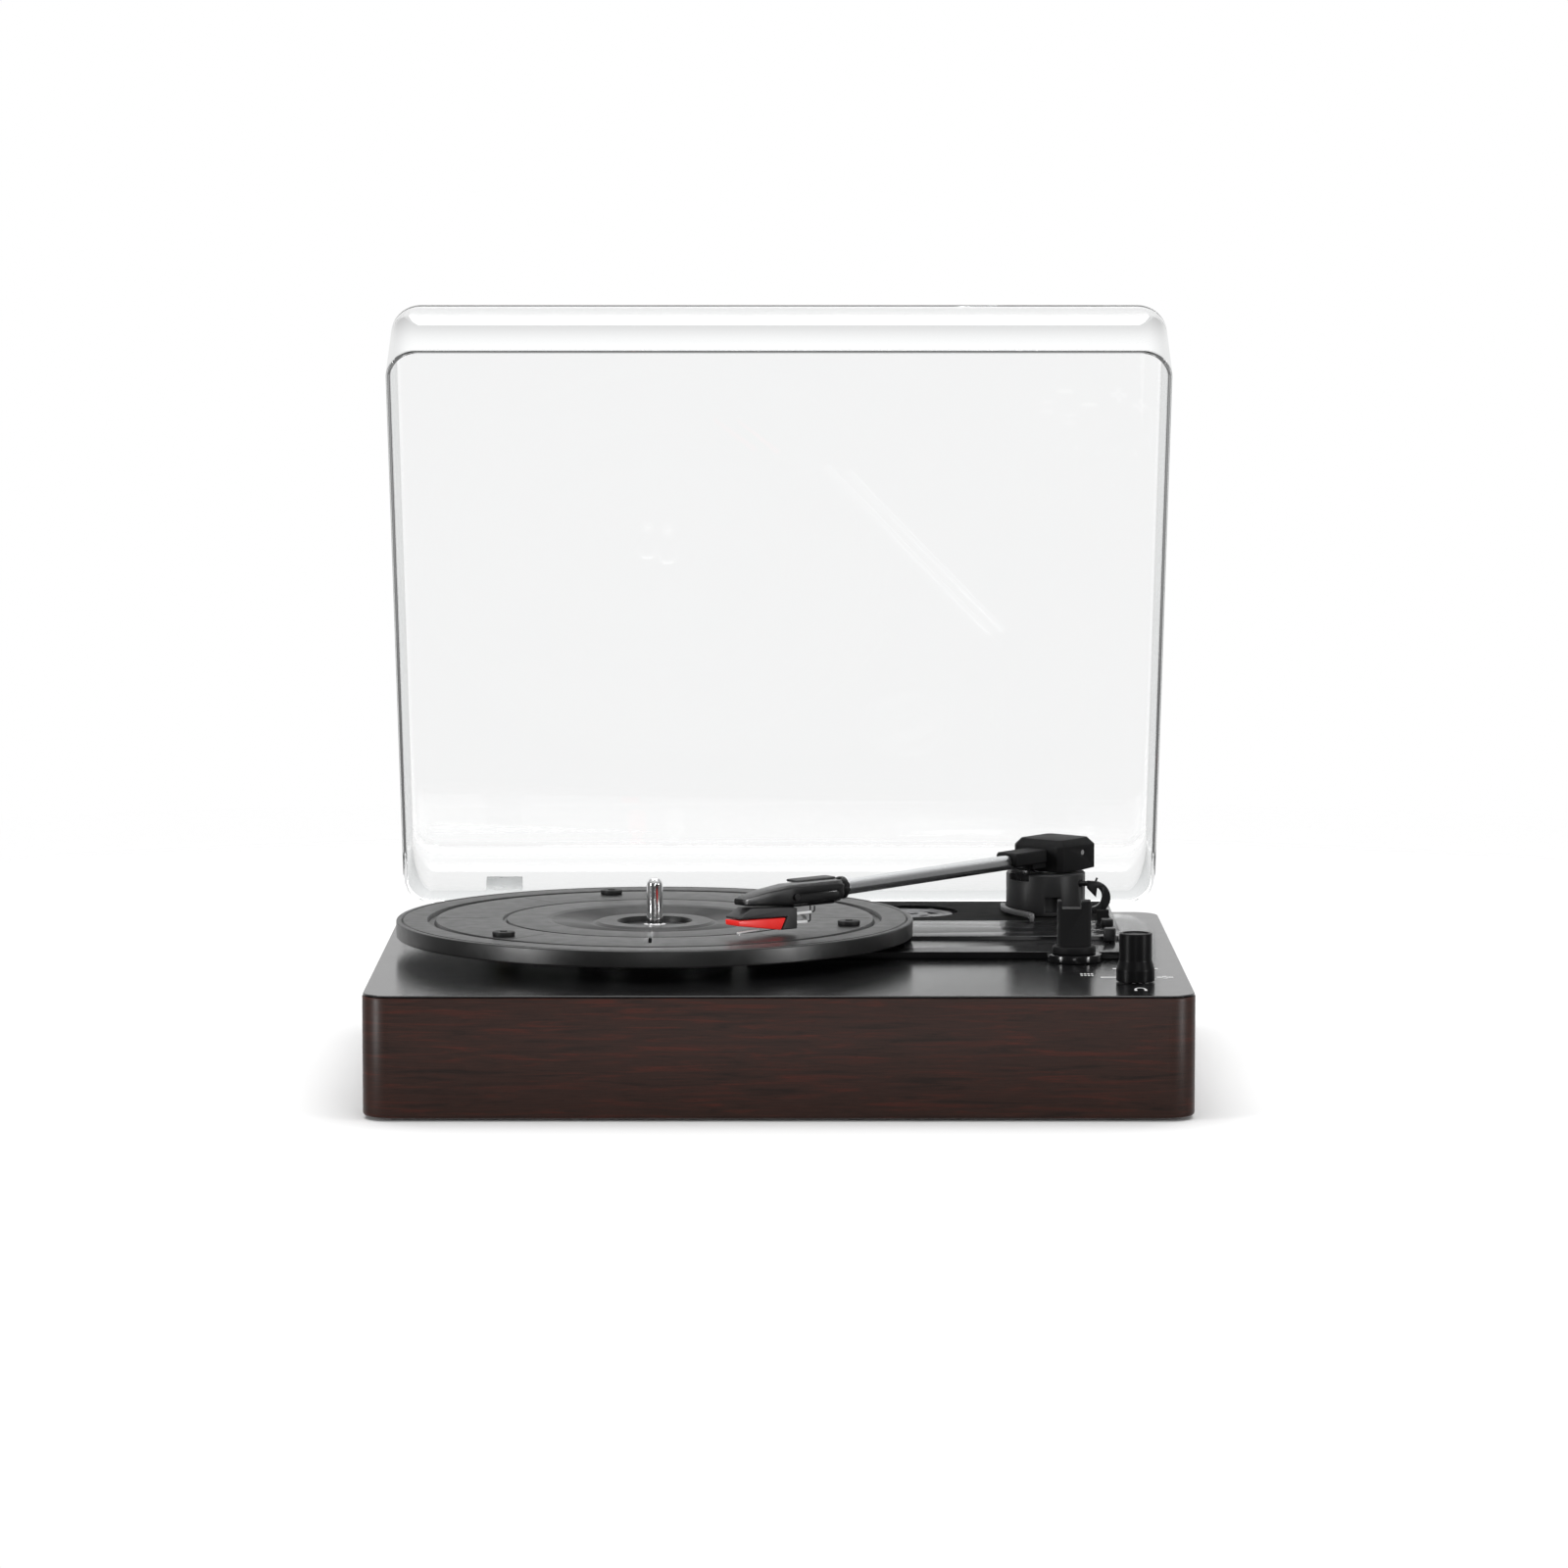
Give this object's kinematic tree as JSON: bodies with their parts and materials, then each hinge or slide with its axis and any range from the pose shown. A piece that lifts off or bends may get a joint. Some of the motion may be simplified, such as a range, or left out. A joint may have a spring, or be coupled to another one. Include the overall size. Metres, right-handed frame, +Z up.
{
  "type": "turntable",
  "caption": "Compact belt-drive record player with wood plinth, straight tonearm, raised control deck, knob and hinged clear dust cover shown open.",
  "frame": {"origin": "centre of the outline, with the lid open, at the level of the feet's undersides", "axes": "+Z up, the front faces -Y, +X runs to the right as seen from the front"},
  "size_m": [0.35, 0.3362, 0.3352],
  "materials": {
    "walnut": "dark walnut-like veneer with fine straight grain, satin",
    "satin_black": "satin to semi-gloss black moulding",
    "matte_black": "matte black, fine grain",
    "platter_black": "fine-grained matte black paint, smoother on the rim",
    "rubber": "matte black rubber",
    "chrome": "polished",
    "steel": "plain steel",
    "brass": "turned brass",
    "aluminium": "satin anodised",
    "charcoal": "dark charcoal moulding",
    "red": "bright red moulding",
    "pale_grey": "pale grey moulding",
    "smoke": "translucent pale moulding",
    "board_green": "circuit board",
    "jack_white": "white moulding",
    "clear": "clear polished acrylic"
  },
  "bodies": {
    "base": {"arm_column": "satin_black", "arm_rest": "satin_black", "bottom_cover": "matte_black", "cover_screw_1": "steel", "cover_screw_2": "steel", "cover_screw_3": "steel", "cover_screw_4": "steel", "dc_jack": "satin_black", "deck_module": "satin_black", "deck_rear_panel": "matte_black", "drive_belt": "rubber", "foot_1": "rubber", "foot_2": "rubber", "foot_3": "rubber", "foot_4": "rubber", "headphone_jack": "satin_black", "hinge_bracket_left": "satin_black", "hinge_bracket_right": "satin_black", "main_board": "board_green", "motor": "steel", "motor_plate": "steel", "plinth_frame": "walnut", "rca_jack_left": "jack_white", "rca_jack_right": "red", "spindle_bearing": "brass", "terminal_plate": "matte_black", "top_plate": "satin_black", "trip_lever": "steel", "volume_pot": "steel"},
    "platter": {"platter": "platter_black", "spindle": "chrome", "record_pad_1": "rubber", "record_pad_2": "rubber", "record_pad_3": "rubber"},
    "pulley": {"motor_pulley": "brass"},
    "adapter": {"adapter_45": "pale_grey"},
    "volume": {"volume_knob": "satin_black"},
    "speed": {"speed_lever": "satin_black"},
    "auto_stop": {"auto_stop_lever": "satin_black"},
    "yaw": {"yaw_post": "steel", "pivot_pin": "chrome"},
    "arm": {"pivot_block": "satin_black", "tonearm_tube": "aluminium", "arm_collar": "satin_black", "headshell": "charcoal", "finger_lift": "charcoal", "shell_screw": "satin_black", "cartridge_body": "charcoal", "stylus_holder": "red", "cantilever": "aluminium", "cartridge_clip_1": "chrome", "cartridge_clip_2": "chrome", "cartridge_lead_1": "rubber", "cartridge_lead_2": "rubber"},
    "lift": {"lifter": "satin_black"},
    "cue": {"cue_lever": "satin_black"},
    "lid": {"dust_cover": "clear", "lid_hinge_left": "smoke", "lid_hinge_right": "smoke"}
  },
  "joints": [
    {"name": "platter_spin", "type": "hinge", "parent": "base", "child": "platter", "pos_m": [-0.055, -0.01462, 0.0532], "axis": [0, 0, 1], "continuous": true},
    {"name": "pulley_spin", "type": "hinge", "parent": "base", "child": "pulley", "pos_m": [-0.121, 0.01888, 0.0532], "axis": [0, 0, 1], "continuous": true},
    {"name": "adapter_lift_out", "type": "slide", "parent": "base", "child": "adapter", "axis": [0, 0, 1], "range_m": [0, 0.02]},
    {"name": "volume_turn", "type": "hinge", "parent": "base", "child": "volume", "pos_m": [0.1516, -0.12412, 0.0532], "axis": [0, 0, 1], "range_deg": [-150, 150]},
    {"name": "speed_slide", "type": "slide", "parent": "base", "child": "speed", "axis": [0, 1, 0], "range_m": [-0.0045, 0.0045]},
    {"name": "auto_stop_slide", "type": "slide", "parent": "base", "child": "auto_stop", "axis": [0, 1, 0], "range_m": [-0.004, 0.0035]},
    {"name": "arm_yaw", "type": "hinge", "parent": "base", "child": "yaw", "pos_m": [0.1215, 0.06988, 0.0532], "axis": [0, 0, 1], "range_deg": [-6.5, 41.6]},
    {"name": "arm_tilt", "type": "hinge", "parent": "yaw", "child": "arm", "pos_m": [0.12748, 0.07726, 0.0862], "axis": [-0.7771, 0.6293, 0], "range_deg": [0, 3.3]},
    {"name": "cue_turn", "type": "hinge", "parent": "base", "child": "cue", "pos_m": [0.1402, 0.06088, 0.0728], "axis": [-1, 0, 0], "range_deg": [0, 35]},
    {"name": "lift_slide", "type": "slide", "parent": "base", "child": "lift", "axis": [0, 0, 1], "range_m": [-0.0026, 0]},
    {"name": "lid_hinge", "type": "hinge", "parent": "base", "child": "lid", "pos_m": [0, 0.12188, 0.0492], "axis": [1, 0, 0], "range_deg": [-5, 66.5]}
  ],
  "couplings": [
    {"joint": "pulley_spin", "follows": "platter_spin", "ratio": 6.8},
    {"joint": "cue_turn", "follows": "lift_slide", "rad_per_m": -234.9}
  ]
}
